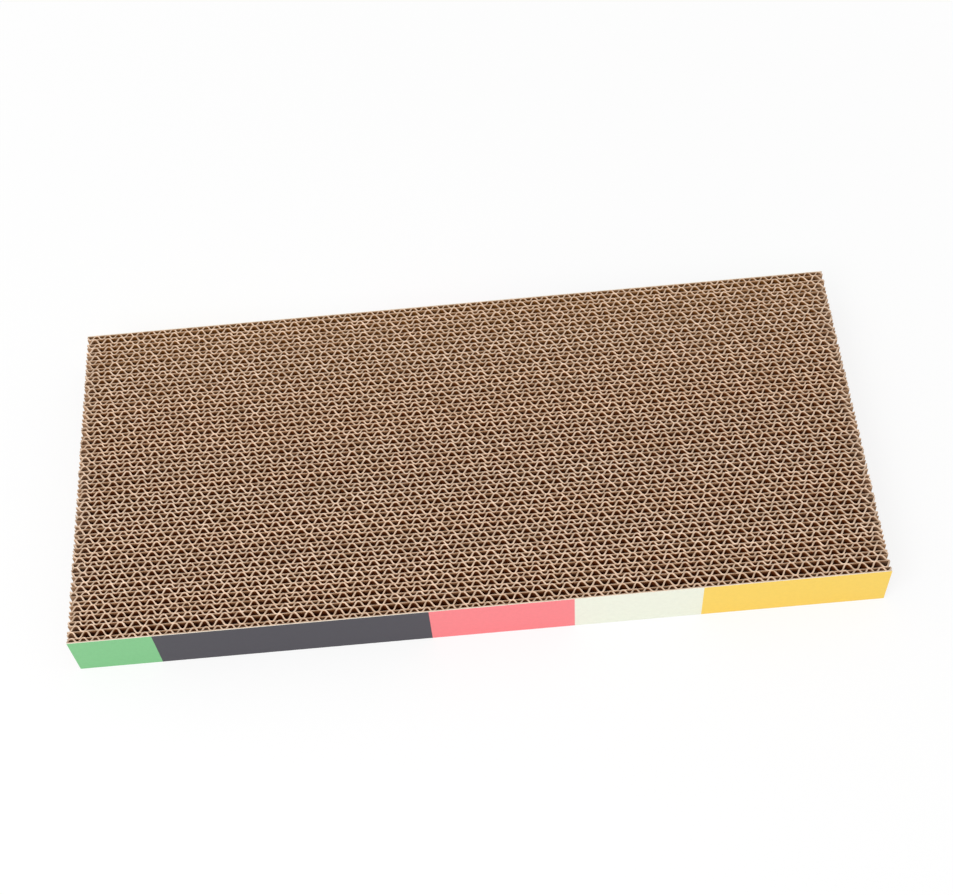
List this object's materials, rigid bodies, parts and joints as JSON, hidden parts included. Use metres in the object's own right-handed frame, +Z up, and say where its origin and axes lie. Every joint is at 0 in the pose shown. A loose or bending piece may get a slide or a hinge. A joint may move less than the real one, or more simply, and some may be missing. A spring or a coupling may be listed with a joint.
{
  "type": "cat scratcher pad",
  "caption": "Flat cat scratching pad: corrugated boards glued face to face on edge and sawn to a slab, with open flutes above and below and plain colour blocks along the sides.",
  "frame": {"origin": "middle of the underside, which is the sawn face that the pad lies on", "axes": "+X along the pad and its boards, -Y towards the printed front, +Z up through the scratching face"},
  "size_m": [0.43, 0.1998, 0.03],
  "materials": {
    "kraft_paper": "matte",
    "printed_paper": "satin"
  },
  "bodies": {
    "root": {"board_01": "kraft_paper", "board_02": "kraft_paper", "board_03": "kraft_paper", "board_04": "kraft_paper", "board_05": "kraft_paper", "board_06": "kraft_paper", "board_07": "kraft_paper", "board_08": "kraft_paper", "board_09": "kraft_paper", "board_10": "kraft_paper", "board_11": "kraft_paper", "board_12": "kraft_paper", "board_13": "kraft_paper", "board_14": "kraft_paper", "board_15": "kraft_paper", "board_16": "kraft_paper", "board_17": "kraft_paper", "board_18": "kraft_paper", "board_19": "kraft_paper", "board_20": "kraft_paper", "board_21": "kraft_paper", "board_22": "kraft_paper", "board_23": "kraft_paper", "board_24": "kraft_paper", "board_25": "kraft_paper", "board_26": "kraft_paper", "board_27": "kraft_paper", "board_28": "kraft_paper", "board_29": "kraft_paper", "board_30": "kraft_paper", "board_31": "kraft_paper", "board_32": "kraft_paper", "board_33": "kraft_paper", "board_34": "kraft_paper", "front_print_sheet": "printed_paper", "back_print_sheet": "printed_paper"}
  },
  "joints": []
}
